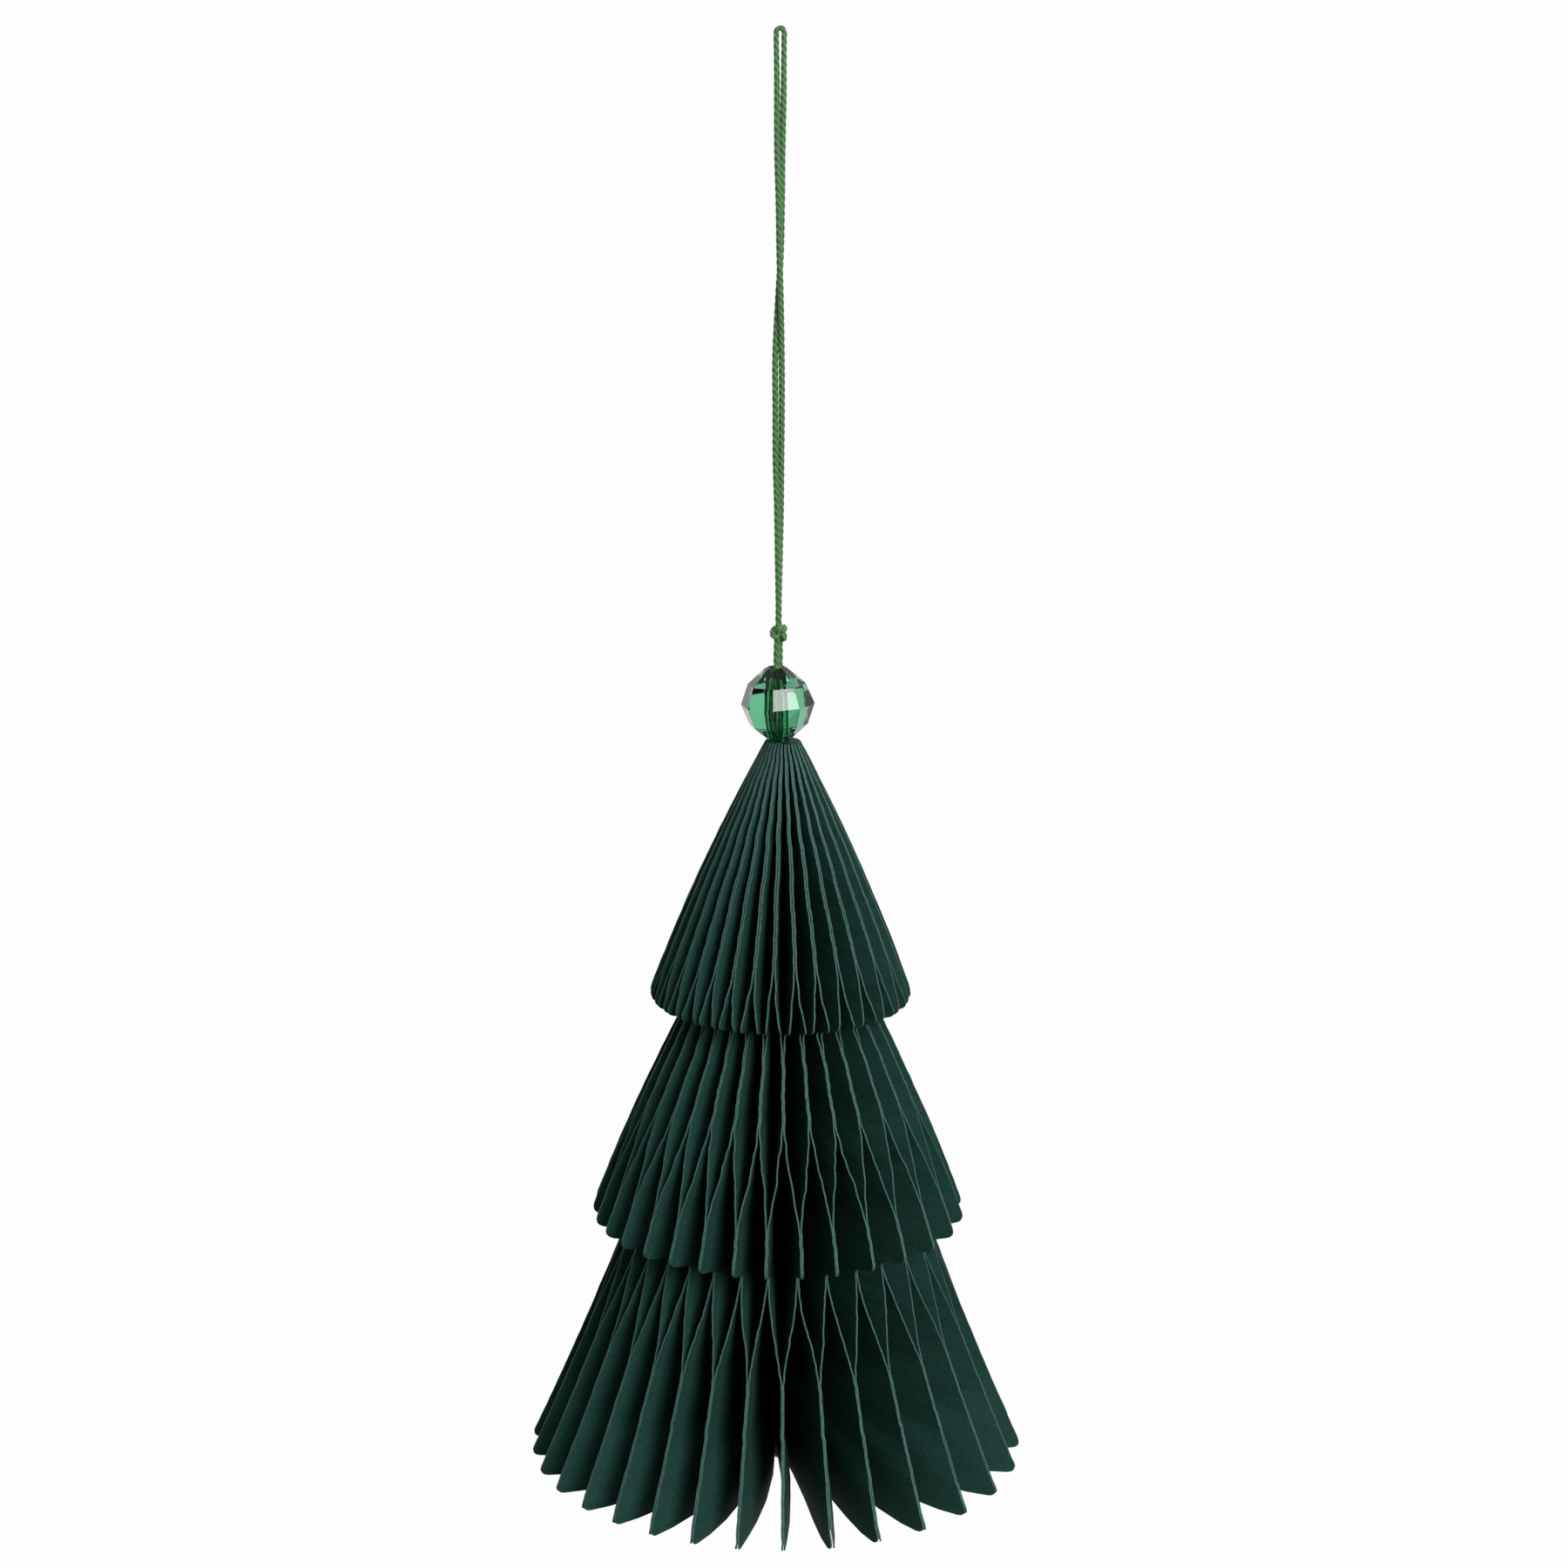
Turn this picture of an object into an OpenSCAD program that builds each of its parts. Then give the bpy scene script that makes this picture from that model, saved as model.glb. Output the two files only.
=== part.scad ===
// Honeycomb paper tree on a cord. Die-cut leaves are glued in alternate rows and fanned out round
// their spine, with a faceted bead and a knotted loop of twisted cord above them.
// All sizes are millimetres. The origin is the inside of the loop's top, where a hook bears.
// +Z is up and -Y is the front.

/* [Leaf pack] */
// Number of leaves in the pack, an even number
leaf_count = 64; // [56:2:68]
// Thickness of one leaf
leaf_t = 0.25; // [0.18:0.01:0.3]
// How far the leaves stand out from the packed core at the tip
tip_rim = 0.3; // [0.2:0.05:1]
// How much of each leaf's opening is left at the foot and at the tip, where no glue row holds it
end_slack = 0.07; // [0.04:0.01:0.3]
// How sharply a pair of leaves closes towards its rim, 1 is a straight wedge
pair_bow = 1.8; // [1:0.1:3]

/* [Tiers] */
// Height of the lowest tier, from the foot to the step above it
low_tier_h = 41.8; // [36:0.1:48]
// Height of the middle tier
mid_tier_h = 37.5; // [32:0.1:44]
// Height of the top tier
top_tier_h = 42.7; // [36:0.1:50]
// Radius of the lowest tier at its skirt
low_skirt_r = 41.7; // [36:0.1:46]
// Radius of the lowest tier at its neck, where the notch under the next skirt ends
low_neck_r = 25; // [22:0.1:27]
// Radius of the middle tier at its skirt
mid_skirt_r = 31.1; // [29:0.1:34]
// Radius of the middle tier at its neck
mid_neck_r = 15.7; // [13:0.1:17]
// Radius of the top tier at its skirt
top_skirt_r = 21.7; // [19.5:0.1:25]
// How far the lowest tier's edge swells past a straight line, less than 0 is hollow
low_swell = -0.4; // [-1.5:0.1:1.5]
// How far the middle tier's edge swells
mid_swell = 0.6; // [-1.5:0.1:1.5]
// How far the top tier's edge swells
top_swell = 0.9; // [-0.5:0.1:1.5]
// Size of the cut corner at each skirt
corner_r = 1.4; // [0.6:0.1:2]
// How far the notch under each skirt falls on its way in to the neck
notch_drop = 1.6; // [0.5:0.1:3]

/* [Glue rows] */
// Height of the lowest glue row's middle above the foot
glue_first_h = 19; // [16:0.5:22]
// Distance from one glue row to the next
glue_pitch = 25; // [22:0.5:28]
// Height of one glue row
glue_w = 10; // [6:0.5:12]

/* [Fan] */
// Direction of the pair of leaves nearest the front, from -Y towards +X
front_pair_deg = 2; // [-10:0.5:10]
// How far the leaves crowd towards one side of the fan
crowd_deg = 9.6; // [0:0.2:11]
// Direction in which that crowding starts
crowd_from_deg = 70; // [0:5:355]
// How far the leaves crowd towards two opposite sides
twin_crowd_deg = 3.6; // [0:0.2:5]
// Direction in which that crowding starts
twin_from_deg = 90; // [0:5:175]

/* [Bead] */
// Width of the bead over its corners
bead_d = 12; // [9:0.5:16]
// Height of the bead along its bore
bead_h = 12; // [10:0.5:15]
// Number of facets round the bead
bead_facets = 8; // [6:1:12]
// Radius of the bead at its shoulders
bead_shoulder_r = 4.7; // [4:0.1:5.4]
// Height of each shoulder above or below the bead's middle
bead_shoulder_h = 3.4; // [2.4:0.1:4.4]
// Width of the flat rim round each end of the bore
bead_rim = 0.2; // [0.15:0.05:0.8]
// Room between the cord and the wall of the bore
bead_play = 0.42; // [0.2:0.02:0.8]
// Direction of the facet nearest the front, from -Y towards +X
bead_turn_deg = 14.6; // [0:0.2:45]

/* [Cord] */
// Diameter of the cord
strand_d = 0.9; // [0.6:0.05:0.9]
// Distance between the middles of the two strands where they run side by side
strand_pitch = 0.96; // [0.92:0.02:1.2]
// Direction in which the two strands lie below the knot, from +X towards +Y
tail_turn_deg = 60; // [0:5:175]
// Length of cord that shows between the bead and the knot
neck_h = 4; // [1:0.5:12]
// Width of the knot above the bead
knot_d = 2.9; // [2.6:0.1:4]
// Height of the knot above the bead
knot_h = 3; // [2:0.1:5]
// Width of the stop knot under the foot
end_knot_d = 3.2; // [2.6:0.1:4]
// Height of the stop knot under the foot
end_knot_h = 2.6; // [2:0.1:4]
// How far the cord comes out beside the tree's axis
cord_offset = 0.9; // [0:0.05:1.1]
// Room between the cord and the wall of its channel in the core
channel_play = 0.17; // [0.1:0.01:0.3]

/* [Hidden] */

paper_colour = [0.09, 0.27, 0.22];
bead_colour = [0.16, 0.6, 0.42];
cord_colour = [0.17, 0.42, 0.22];

// Least wall between the channel and the valleys, and least distance between two levels of points
core_wall = 0.55;
level_gap = 1.5;
// Share of the pitch that a leaf may fill, and share of the way out at which its inner points lie
pack_share = 0.84;
inner_share = 0.5;
channel_sides = 16;
strand_sides = 8;
// Most that one ring of the cord stands from the next, in diameters
ring_every = 3;
end_flat_share = 0.72;

// Route of the loop: up the first strand from the knot, over the hook and down the second strand
LOOP_ROUTE = [
    [0.6, 0.5, -92.5], [0.6, 0.5, -90], [0.7, 0.5, -82], [0.8, 0.4, -74], [0.8, 0.2, -66],
    [0.8, 0, -58], [0.7, -0.1, -50], [0.5, -0.4, -42], [0.2, -0.5, -34], [0, -0.5, -26],
    [-0.3, -0.3, -18], [-0.4, -0.1, -10], [-0.5, 0, -5], [-0.6, 0, -1.5],
    [-0.6, 0, -0.2], [-0.4, 0, 0.3], [0, 0, 0.45], [0.4, 0, 0.3], [0.6, 0, -0.2],
    [0.6, 0, -1.5], [0.6, 0, -5], [0.6, 0.1, -10], [0.5, 0.3, -18], [0.5, 0.4, -26],
    [0.4, 0.5, -34], [0, 0.5, -42], [-0.3, 0.1, -50], [-0.2, 0, -58], [-0.1, -0.2, -66],
    [0.2, -0.4, -74], [0.4, -0.5, -82], [0.6, -0.5, -90], [0.6, -0.5, -92.5],
];
cord_x = LOOP_ROUTE[0].x;

// Stack of heights from the foot of the loop down to the foot of the tree
knot_top_z = LOOP_ROUTE[0].z;
knot_foot_z = knot_top_z - knot_h;
pair_r = (strand_pitch + strand_d) / 2;
bead_bore_r = pair_r + bead_play;
bead_flat_r = bead_bore_r / cos(180 / bead_facets) + bead_rim;
bead_tilt = atan(0.85 * bead_play / (bead_h / 2));
bead_half_stack = bead_h / 2 * cos(bead_tilt) + bead_flat_r * sin(bead_tilt);
bead_z = knot_foot_z - neck_h - bead_half_stack;
tip_z = bead_z - bead_half_stack;
tree_h = low_tier_h + mid_tier_h + top_tier_h;
foot_z = tip_z - tree_h;
tree_x = cord_x + cord_offset;

// Core of the pack
channel_r = pair_r + channel_play;
packed_r = 1.02 * leaf_count * leaf_t / (2 * PI);
core_r = max(packed_r, cord_offset + channel_r + core_wall);

// Tiers, each as the height of its skirt, of its neck, the radii there and its swell
TIERS = [
    [0, low_tier_h - notch_drop, low_skirt_r, low_neck_r, low_swell],
    [low_tier_h, low_tier_h + mid_tier_h - notch_drop, mid_skirt_r, mid_neck_r, mid_swell],
    [low_tier_h + mid_tier_h, tree_h, top_skirt_r, core_r + tip_rim, top_swell],
];

// Outline of a leaf: the tier that holds a height, and the radius of that tier's edge
function tier_at(z) = z <= TIERS[0][1] ? 0 : z <= TIERS[1][1] ? 1 : 2;
function rise(t, z) = (z - t[0]) / (t[1] - t[0]);
function edge_r(t, z) = t[2] + (t[3] - t[2]) * rise(t, z) + 4 * t[4] * rise(t, z) * (1 - rise(t, z));

// Glue rows: their heights, whether one holds a height, and which gaps it closes
glue_rows = floor((tree_h - glue_first_h - glue_w) / glue_pitch) + 1;
function glue_h(n) = glue_first_h + n * glue_pitch;
function row_near(z) = min(glue_rows - 1, max(0, round((z - glue_first_h) / glue_pitch)));
function is_glued(z) = abs(z - glue_h(row_near(z))) <= glue_w / 2 + level_gap;
function row_sign(n) = n % 2 == 0 ? 1 : -1;

// Lean of the leaves at a height: 1 and -1 close the even and the odd gaps, 0 spaces them evenly
top_glue_h = glue_h(glue_rows - 1) + glue_w / 2;
function row_below(z) = floor((z - glue_first_h) / glue_pitch);
function swing(z) = (z - glue_h(row_below(z)) - glue_w / 2) / (glue_pitch - glue_w);
function lean(z) =
    is_glued(z) ? row_sign(row_near(z))
    : z < glue_first_h ? row_sign(0) * (1 - end_slack * (1 - z / (glue_first_h - glue_w / 2)))
    : z > top_glue_h ? row_sign(glue_rows - 1) * (1 - end_slack * (z - top_glue_h) / (tree_h - top_glue_h))
    : row_sign(row_below(z)) * cos(180 * swing(z));

// Levels of points up the leaf: the outline's own heights, and the glue rows between them. A skirt's
// corner is cut from the notch under it to the tier's edge.
function corner_foot(n) =
    TIERS[n][0] - (n == 0 ? 0 : notch_drop * corner_r / (TIERS[n][2] - TIERS[n - 1][3]));
outline_levels = [for (n = [0:2]) each [corner_foot(n), TIERS[n][0] + corner_r, TIERS[n][1]]];
glue_levels = concat(
    [for (n = [0:glue_rows - 1]) each [glue_h(n) - glue_w / 2, glue_h(n) + glue_w / 2]],
    [for (n = [0:glue_rows - 2]) glue_h(n) + glue_pitch / 2]
);
function clear_of(z, list) = min([for (other = list) abs(z - other)]) >= level_gap;
function sorted(list) =
    len(list) < 2 ? list
    : let (pivot = list[0])
        concat(
            sorted([for (v = list) if (v < pivot) v]),
            [pivot],
            sorted([for (v = list) if (v > pivot) v])
        );
LEVELS = sorted(concat(outline_levels, [for (z = glue_levels) if (clear_of(z, outline_levels)) z]));
last_level = len(LEVELS) - 1;

// Radii of the points at a level, from the core out. The walls are straight in a glue row and short
// at the tip, and need no inner point there.
function cone_r(z) = low_skirt_r + (core_r + tip_rim - low_skirt_r) * z / tree_h;
function inner_r(z) = core_r + inner_share * (cone_r(z) - core_r);
function is_corner_foot(z) = z <= TIERS[tier_at(z)][0];
function rim_r(z) = is_corner_foot(z) ? TIERS[tier_at(z)][2] - corner_r : edge_r(TIERS[tier_at(z)], z);
function is_bowed(z) = !is_glued(z) && z < tree_h;
function level_radii(z) = concat(core_r, is_bowed(z) ? inner_r(z) : [], rim_r(z));
RADII = [for (z = LEVELS) level_radii(z)];
function rim_place(k) = len(RADII[k]) - 1;
// Radius at which the pairs of a level meet, which over a notch is still the neck's
function meeting_r(z) = is_corner_foot(z) && z > 0 ? TIERS[tier_at(z) - 1][3] : rim_r(z);

// Directions of the gaps round the spine, and of each leaf between its two gaps
pitch_deg = 360 / leaf_count;
function crowded(a) = a + crowd_deg * sin(a - crowd_from_deg) + twin_crowd_deg * sin(2 * (a - twin_from_deg));
function gap_deg(j) = crowded(j * pitch_deg) + front_pair_deg - crowded(0) - 90;
GAPS = [for (j = [-1:leaf_count]) gap_deg(j)];
function leaf_deg(i) = (GAPS[i] + GAPS[i + 1]) / 2;
function leaf_pitch(i) = GAPS[i + 1] - GAPS[i];
function half_leaf_deg(i, r) = min(asin(leaf_t / 2 / r), pack_share / 2 * leaf_pitch(i));
function closing(k, r) = is_glued(LEVELS[k]) ? 1 : pow(min(1, r / meeting_r(LEVELS[k])), pair_bow);
function leaned_deg(i, k, r) =
    leaf_deg(i) + row_sign(i) * lean(LEVELS[k]) * closing(k, r) * (leaf_pitch(i) / 2 - half_leaf_deg(i, r));
function at(a, r, z) = [r * cos(a), r * sin(a), z];

// Points of one gap at one level: its valley, then a point on each wall at every radius
function gap_points(j, k) =
    let (
        next = (j + 1) % leaf_count,
        turn = j + 1 == leaf_count ? 360 : 0
    )
    concat(
        [at(GAPS[j + 1], core_r, LEVELS[k])],
        [for (m = [1:rim_place(k)]) let (r = RADII[k][m]) each [
            at(leaned_deg(j, k, r) + half_leaf_deg(j, r), r, LEVELS[k]),
            at(leaned_deg(next, k, r) - half_leaf_deg(next, r) + turn, r, LEVELS[k])
        ]]
    );
function channel_points(z) = [
    for (s = [0:channel_sides - 1])
        at(gap_deg(0) + 360 / channel_sides * s, channel_r, z) - [cord_offset, 0, 0]
];
function stride(k) = 2 * len(RADII[k]) - 1;
function block_start(k) = k == 0 ? 0 : block_start(k - 1) + leaf_count * stride(k - 1);
STARTS = [for (k = [0:last_level + 1]) block_start(k)];
LEAF_POINTS = concat(
    [for (k = [0:last_level]) for (j = [0:leaf_count - 1]) each gap_points(j, k)],
    channel_points(0),
    channel_points(tree_h)
);

// Number of a point in that list. The walls of a glued gap share their points.
function is_closed(j, k) = is_glued(LEVELS[k]) && row_sign(j) == lean(LEVELS[k]);
function wrap(j) = (j + leaf_count) % leaf_count;
function number(j, k, wall, m) =
    STARTS[k] + wrap(j) * stride(k) + (m == 0 ? 0 : wall == 1 && !is_closed(wrap(j), k) ? 2 * m : 2 * m - 1);
function wall_line(j, k, wall) = [for (m = [0:rim_place(k)]) number(j, k, wall, m)];

// Triangles between two rows of points, whatever the number of points in each
function strip(low, high, a = 0, b = 0) =
    a == len(low) - 1 && b == len(high) - 1 ? []
    : b == len(high) - 1 || (a < len(low) - 1 && a * (len(high) - 1) <= b * (len(low) - 1))
        ? concat([[low[a], low[a + 1], high[b]]], strip(low, high, a + 1, b))
        : concat([[low[a], high[b + 1], high[b]]], strip(low, high, a, b + 1));
function flipped(faces) = [for (f = faces) [f[2], f[1], f[0]]];

// Walls of one gap between two levels. Above a glue row the diagonals run the other way, because
// there the lower points of the two walls are shared and a triangle of them would have no room.
function wall_faces(j, k) = [
    for (wall = [0, 1])
        let (
            low = wall_line(j, k, wall),
            high = wall_line(j, k + 1, wall),
            faces = is_glued(LEVELS[k]) ? flipped(strip(high, low)) : strip(low, high)
        )
        each wall == 0 ? faces : flipped(faces)
];
function across(i, k, m) = [number(i - 1, k, 1, m), number(i, k, 0, m)];
function edge_faces(i, k) = strip(across(i, k, rim_place(k)), across(i, k + 1, rim_place(k + 1)));
function cap_faces(i, k) = [for (m = [0:rim_place(k) - 1]) each strip(across(i, k, m + 1), across(i, k, m))];
function ring(first, count) = [for (s = [0:count]) first + s % count];
function valley_ring(k) = [for (j = [0:leaf_count]) number(j, k, 0, 0)];

foot_channel = ring(STARTS[last_level + 1], channel_sides);
tip_channel = ring(STARTS[last_level + 1] + channel_sides, channel_sides);
LEAF_FACES = concat(
    [for (k = [0:last_level - 1]) for (j = [0:leaf_count - 1])
        if (!(is_closed(j, k) && is_closed(j, k + 1))) each wall_faces(j, k)],
    [for (k = [0:last_level - 1]) for (i = [0:leaf_count - 1]) each flipped(edge_faces(i, k))],
    [for (i = [0:leaf_count - 1]) each cap_faces(i, 0)],
    [for (i = [0:leaf_count - 1]) each flipped(cap_faces(i, last_level))],
    strip(valley_ring(0), foot_channel),
    flipped(strip(valley_ring(last_level), tip_channel)),
    strip(foot_channel, tip_channel)
);

// Rings of the cord along its route, on a smooth curve through the points chosen
function curve(p, q, r, s, t) =
    0.5 * (2 * q + (r - p) * t + (2 * p - 5 * q + 4 * r - s) * t * t + (3 * q - p - 3 * r + s) * t * t * t);
function route_point(n) = LOOP_ROUTE[min(len(LOOP_ROUTE) - 1, max(0, n))];
function steps(n) = max(1, ceil(norm(route_point(n + 1) - route_point(n)) / (ring_every * strand_d)));
LOOP_LINE = concat(
    [for (n = [0:len(LOOP_ROUTE) - 2]) for (s = [0:steps(n) - 1])
        curve(route_point(n - 1), route_point(n), route_point(n + 1), route_point(n + 2), s / steps(n))],
    [route_point(len(LOOP_ROUTE) - 1)]
);
last_ring = len(LOOP_LINE) - 1;
function unit(v) = v / norm(v);
function heading(n) =
    n == 0 ? [0, 0, 1] : n == last_ring ? [0, 0, -1] : unit(LOOP_LINE[n + 1] - LOOP_LINE[n - 1]);
function ring_points(n) =
    let (side = unit(cross(heading(n), [0, 1, 0])), front = cross(side, heading(n)))
    [for (s = [0:strand_sides - 1]) let (a = 360 / strand_sides * s)
        LOOP_LINE[n] + strand_d / 2 * (cos(a) * side + sin(a) * front)];
function ring_numbers(n) = ring(n * strand_sides, strand_sides);
function end_faces(n) =
    let (first = n * strand_sides)
    [for (s = [1:strand_sides - 2]) [first, first + s, first + s + 1]];

// The pack of leaves, one solid from its packed core to the rim of every leaf
module paper_leaves() {
    color(paper_colour)
        translate([tree_x, 0, foot_z])
            polyhedron(points = LEAF_POINTS, faces = LEAF_FACES, convexity = 20);
}

// The faceted bead, which leans on the cord inside its bore
module bead() {
    outline = [
        [0, -bead_h / 2],
        [bead_flat_r, -bead_h / 2],
        [bead_shoulder_r, -bead_shoulder_h],
        [bead_d / 2, 0],
        [bead_shoulder_r, bead_shoulder_h],
        [bead_flat_r, bead_h / 2],
        [0, bead_h / 2],
    ];
    color(bead_colour)
        translate([cord_x, 0, bead_z])
            rotate([0, -bead_tilt, 0])
                difference() {
                    rotate([0, 0, bead_turn_deg - 90 + 180 / bead_facets])
                        rotate_extrude($fn = bead_facets)
                            polygon(outline);
                    cylinder(h = bead_h + 2, r = bead_bore_r, center = true, $fn = 48);
                }
}

// The loop, one strand that goes up from the knot, over the hook and back
module cord_loop() {
    color(cord_colour)
        polyhedron(
            points = [for (n = [0:last_ring]) each ring_points(n)],
            faces = concat(
                flipped(end_faces(0)),
                [for (n = [0:last_ring - 1]) each strip(ring_numbers(n), ring_numbers(n + 1))],
                end_faces(last_ring)
            ),
            convexity = 10
        );
}

// A drawn-up knot as a plain barrel with flat ends, where the strands meet it
module knot(width, height) {
    rotate_extrude($fn = 32)
        polygon([
            [0, 0],
            [end_flat_share * width / 2, 0],
            [width / 2, height * 0.3],
            [width / 2, height * 0.7],
            [end_flat_share * width / 2, height],
            [0, height],
        ]);
}

module cord_knot() {
    color(cord_colour)
        translate([cord_x, 0, knot_foot_z])
            knot(knot_d, knot_h);
}

// The two strands from the knot through the bead and the core to the stop knot
module cord_tail() {
    color(cord_colour)
        for (side = [0, 180])
            translate([cord_x, 0, foot_z])
                rotate([0, 0, tail_turn_deg + side])
                    translate([strand_pitch / 2, 0, 0])
                        cylinder(h = knot_foot_z - foot_z, d = strand_d, $fn = 24);
}

module cord_end_knot() {
    color(cord_colour)
        translate([cord_x, 0, foot_z - end_knot_h])
            knot(end_knot_d, end_knot_h);
}

paper_leaves();
bead();
cord_loop();
cord_knot();
cord_tail();
cord_end_knot();
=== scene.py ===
"""Honeycomb paper tree ornament: its visible pieces, camera and studio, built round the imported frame.

The frame is in metres, with the origin inside the cord loop's top, +Z up and -Y the front. Sizes
here are millimetres unless a name says otherwise, and each mesh is scaled to metres as it is made.
"""
import logging
import math
from dataclasses import dataclass
from enum import Enum

import bpy
import numpy as np
from mathutils import Matrix


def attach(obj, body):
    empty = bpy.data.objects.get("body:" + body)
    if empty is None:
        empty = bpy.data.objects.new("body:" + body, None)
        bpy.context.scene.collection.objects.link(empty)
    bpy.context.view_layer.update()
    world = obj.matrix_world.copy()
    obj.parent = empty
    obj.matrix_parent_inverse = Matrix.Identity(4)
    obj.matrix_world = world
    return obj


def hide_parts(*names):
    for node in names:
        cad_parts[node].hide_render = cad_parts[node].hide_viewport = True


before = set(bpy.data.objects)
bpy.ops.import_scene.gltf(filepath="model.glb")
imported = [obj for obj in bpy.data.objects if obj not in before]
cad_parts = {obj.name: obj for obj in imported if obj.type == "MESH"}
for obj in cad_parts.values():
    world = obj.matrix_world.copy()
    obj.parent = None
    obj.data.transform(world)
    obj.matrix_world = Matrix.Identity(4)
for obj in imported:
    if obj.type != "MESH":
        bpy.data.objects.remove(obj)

LOG = logging.getLogger("paper_tree")
MM = 0.001


# Helpers that every piece shares


def linear(hex_colour: str) -> tuple[float, float, float, float]:
    """Turns an sRGB hex colour into the linear colour that a shader socket takes.

    Args:
        hex_colour: Six hex digits, red first.

    Returns:
        Red, green, blue and an alpha of 1.
    """
    parts = [int(hex_colour[n : n + 2], 16) / 255 for n in (0, 2, 4)]
    return (*(p / 12.92 if p <= 0.04045 else ((p + 0.055) / 1.055) ** 2.4 for p in parts), 1.0)


def add_node(
    tree: bpy.types.NodeTree, kind: str, inputs: dict | None = None, **settings: object
) -> bpy.types.Node:
    """Adds a node with its settings, and fills or links its inputs.

    Args:
        tree: The node tree that it goes into.
        kind: The node's type, without the word ShaderNode.
        inputs: Value or output socket for each input, by name or number.
        **settings: The node's own properties.

    Returns:
        The new node.
    """
    node = tree.nodes.new("ShaderNode" + kind)
    for name, value in settings.items():
        setattr(node, name, value)
    for name, value in (inputs or {}).items():
        if isinstance(value, bpy.types.NodeSocket):
            tree.links.new(value, node.inputs[name])
        else:
            node.inputs[name].default_value = value
    return node


def new_finish(
    name: str, values: dict[str, object]
) -> tuple[bpy.types.Material, bpy.types.NodeTree, bpy.types.Node]:
    """Makes a material and sets its shader's own sockets.

    Args:
        name: The material's name.
        values: Value of each socket that isn't linked, by its name.

    Returns:
        The material, its node tree and its shader.
    """
    material = bpy.data.materials.new(name)
    material.use_nodes = True
    shader = material.node_tree.nodes["Principled BSDF"]
    for socket, value in values.items():
        shader.inputs[socket].default_value = value
    return material, material.node_tree, shader


def mesh_piece(
    name: str,
    points_mm: np.ndarray,
    faces: list,
    materials: list[bpy.types.Material],
    material_index: np.ndarray | None = None,
    uv: np.ndarray | None = None,
    sharp_deg: float | None = 40.0,
) -> bpy.types.Object:
    """Puts points and faces into a new object at the origin that rides on the root body.

    Args:
        name: The piece's name.
        points_mm: Points in the row frame, one row each, in millimetres.
        faces: Point numbers of each face, counter-clockwise from outside.
        materials: Materials in the order of their indices.
        material_index: Index of each face's material, all 0 if left out.
        uv: A coordinate pair for each face corner.
        sharp_deg: Angle past which an edge stays sharp, or None for flat facets.

    Returns:
        The new object.
    """
    mesh = bpy.data.meshes.new(name)
    mesh.from_pydata((points_mm * MM).tolist(), [], faces)
    for material in materials:
        mesh.materials.append(material)
    if material_index is not None:
        mesh.polygons.foreach_set("material_index", material_index.astype(np.int32))
    if uv is not None:
        mesh.uv_layers.new(name="along").data.foreach_set("uv", uv.ravel())
    mesh.polygons.foreach_set("use_smooth", np.full(len(faces), sharp_deg is not None))
    if sharp_deg is not None:
        mesh.set_sharp_from_angle(angle=math.radians(sharp_deg))
    mesh.update()
    piece = bpy.data.objects.new(name, mesh)
    bpy.context.scene.collection.objects.link(piece)
    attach(piece, "root")
    return piece


def smooth_noise(rng: np.random.Generator, count: int, every: int, rows: int = 1) -> np.ndarray:
    """Random rows that wander smoothly: random knots every few samples, joined by cosine steps.

    Args:
        rng: The seeded generator.
        count: Number of samples in a row.
        every: Samples from one knot to the next.
        rows: Number of rows.

    Returns:
        An array of rows by samples, from -1 to 1.
    """
    knots = rng.uniform(-1, 1, (rows, count // every + 3))
    place = np.arange(count) / every
    low = place.astype(int)
    step = (1 - np.cos(np.pi * (place - low))) / 2
    return knots[:, low] * (1 - step) + knots[:, low + 1] * step


# Finishes


class Slot(Enum):
    """The record's material slots."""

    PAPER = "dyed_paper"
    ACRYLIC = "clear_acrylic"
    CORD = "cotton_cord"


@dataclass(frozen=True)
class DyedCard:
    """Uncoated card dyed through: matt, slightly mottled fibres, no gloss."""

    name: str = "dyed_card_uncoated"
    deep: str = "13322b"
    pale: str = "193f38"
    # Fibre clumps of about 0.6 mm and a paper tooth of about 0.15 mm
    clump_per_m: float = 1700.0
    tooth_per_m: float = 6500.0
    tooth_depth_m: float = 0.00002
    roughness: float = 0.86
    specular: float = 0.2

    def build(self) -> bpy.types.Material:
        """Makes the material: two greens mixed by fibre noise, and a fine bump."""
        values = {"Roughness": self.roughness, "Specular IOR Level": self.specular}
        material, tree, shader = new_finish(self.name, values)
        place = add_node(tree, "TexCoord").outputs["Object"]
        clump = add_node(
            tree, "TexNoise", {"Vector": place, "Scale": self.clump_per_m, "Detail": 4.0, "Roughness": 0.6}
        )
        colour = add_node(tree, "ValToRGB", {"Fac": clump.outputs["Fac"]})
        ends = colour.color_ramp.elements
        ends[0].position, ends[0].color = 0.3, linear(self.deep)
        ends[1].position, ends[1].color = 0.72, linear(self.pale)
        tooth = add_node(
            tree, "TexNoise", {"Vector": place, "Scale": self.tooth_per_m, "Detail": 3.0, "Roughness": 0.7}
        )
        bump = add_node(
            tree, "Bump", {"Height": tooth.outputs["Fac"], "Strength": 0.5, "Distance": self.tooth_depth_m}
        )
        tree.links.new(colour.outputs["Color"], shader.inputs["Base Color"])
        tree.links.new(bump.outputs["Normal"], shader.inputs["Normal"])
        return material


@dataclass(frozen=True)
class CutEdgePaintedHighlight(DyedCard):
    """The cut edge of that card, painted paler than the face: a painted highlight for the light that its
    crushed fibres catch.
    """

    name: str = "dyed_card_cut_edge_painted_highlight"
    # Both greens are paler than the face's: painted highlight on every cut edge
    deep: str = "2d4843"
    pale: str = "486963"
    clump_per_m: float = 2600.0
    roughness: float = 0.8


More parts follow.
